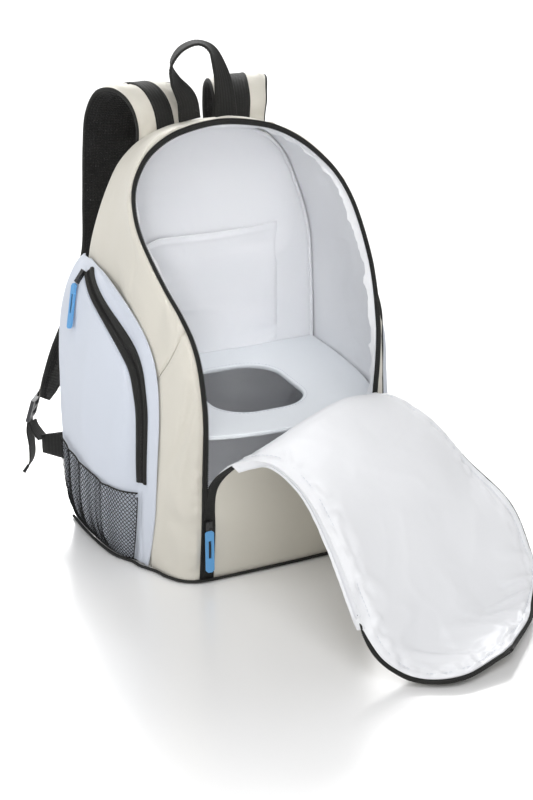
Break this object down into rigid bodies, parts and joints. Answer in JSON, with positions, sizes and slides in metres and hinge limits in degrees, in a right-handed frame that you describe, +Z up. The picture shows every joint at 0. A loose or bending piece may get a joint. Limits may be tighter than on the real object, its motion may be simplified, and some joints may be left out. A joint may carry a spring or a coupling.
{
  "type": "cooler backpack",
  "caption": "Cream and pale blue insulated cooler backpack with its round-topped front flap unzipped and folded down to the floor.",
  "frame": {"origin": "middle of the underside of the base, where the bag stands on the floor", "axes": "+Z up; -Y is the way the zipped opening faces, +Y the wearer's back; +X is to the right of someone who faces the opening"},
  "size_m": [0.4186, 0.5637, 0.5087],
  "materials": {
    "cream_nylon": "woven nylon, matt",
    "pale_blue_nylon": "woven nylon, slight sheen",
    "white_lining": "smooth foil-backed vinyl sheet, semi-gloss",
    "black_webbing": "woven polypropylene webbing, matt",
    "black_tape": "zip tape and binding, matt",
    "black_mesh": "knitted net, matt",
    "grey_plastic": "moulded acetal, satin",
    "blue_rubber": "moulded soft rubber, satin"
  },
  "bodies": {
    "root": {"gusset_arch": "cream_nylon", "side_panel_left": "cream_nylon", "side_panel_right": "cream_nylon", "zip_tape_body": "black_tape", "lining_gusset": "white_lining", "back_panel": "cream_nylon", "lining_back": "white_lining", "base_panel": "cream_nylon", "lining_base": "white_lining", "divider_shelf": "white_lining", "lining_pocket": "white_lining", "front_flap": "cream_nylon", "zip_tape_flap": "black_tape", "flap_lining": "white_lining", "side_pocket_left": "pale_blue_nylon", "side_pocket_right": "pale_blue_nylon", "side_pocket_front_left": "pale_blue_nylon", "side_pocket_front_right": "pale_blue_nylon", "side_pocket_zip_left": "black_tape", "side_pocket_zip_right": "black_tape", "mesh_pocket_left": "black_mesh", "mesh_pocket_right": "black_mesh", "side_pocket_floor_left": "black_tape", "side_pocket_floor_right": "black_tape", "shoulder_strap_left": "cream_nylon", "shoulder_strap_right": "cream_nylon", "strap_webbing_left": "black_webbing", "strap_webbing_right": "black_webbing", "ladder_buckle_left": "grey_plastic", "ladder_buckle_right": "grey_plastic", "lower_webbing_left": "black_webbing", "lower_webbing_right": "black_webbing", "webbing_tail_left": "black_webbing", "webbing_tail_right": "black_webbing", "anchor_tab_left": "black_webbing", "anchor_tab_right": "black_webbing", "side_pocket_slider_left": "grey_plastic", "side_pocket_slider_right": "grey_plastic", "side_pocket_pull_left": "blue_rubber", "side_pocket_pull_right": "blue_rubber", "base_piping": "black_tape", "grab_handle": "black_webbing", "zip_slider": "grey_plastic", "zip_pull": "blue_rubber"}
  },
  "joints": []
}
